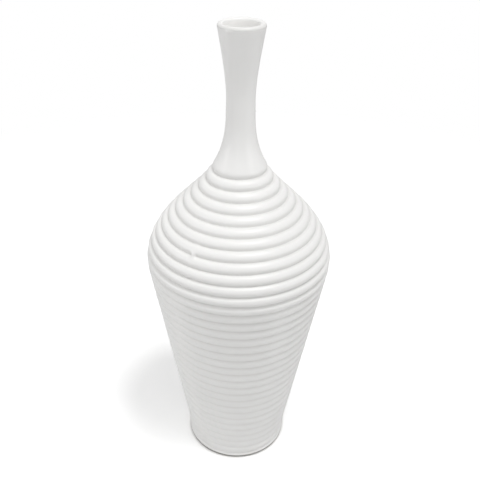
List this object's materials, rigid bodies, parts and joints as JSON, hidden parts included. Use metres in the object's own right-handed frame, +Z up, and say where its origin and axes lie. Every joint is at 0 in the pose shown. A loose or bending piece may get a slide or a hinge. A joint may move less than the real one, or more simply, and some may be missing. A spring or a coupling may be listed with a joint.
{
  "type": "bottle vase",
  "caption": "Tall white ceramic bottle vase with a slender smooth flared neck, ribbed round shoulder and ribbed tapered body, on felt foot pads.",
  "frame": {"origin": "on the vase's axis, in the plane of the table that the felt pads stand on", "axes": "+Z up along the vase's axis from the foot to the mouth; the viewer of the picture stands on the -Y side, with +X to the right"},
  "size_m": [0.156, 0.156, 0.4],
  "materials": {
    "satin_glaze": "satin matte white glaze on stoneware, unglazed on the foot ring",
    "felt": "pressed off-white wool felt"
  },
  "bodies": {
    "root": {"ceramic_shell": "satin_glaze", "felt_pad_1": "felt", "felt_pad_2": "felt", "felt_pad_3": "felt", "felt_pad_4": "felt"}
  },
  "joints": []
}
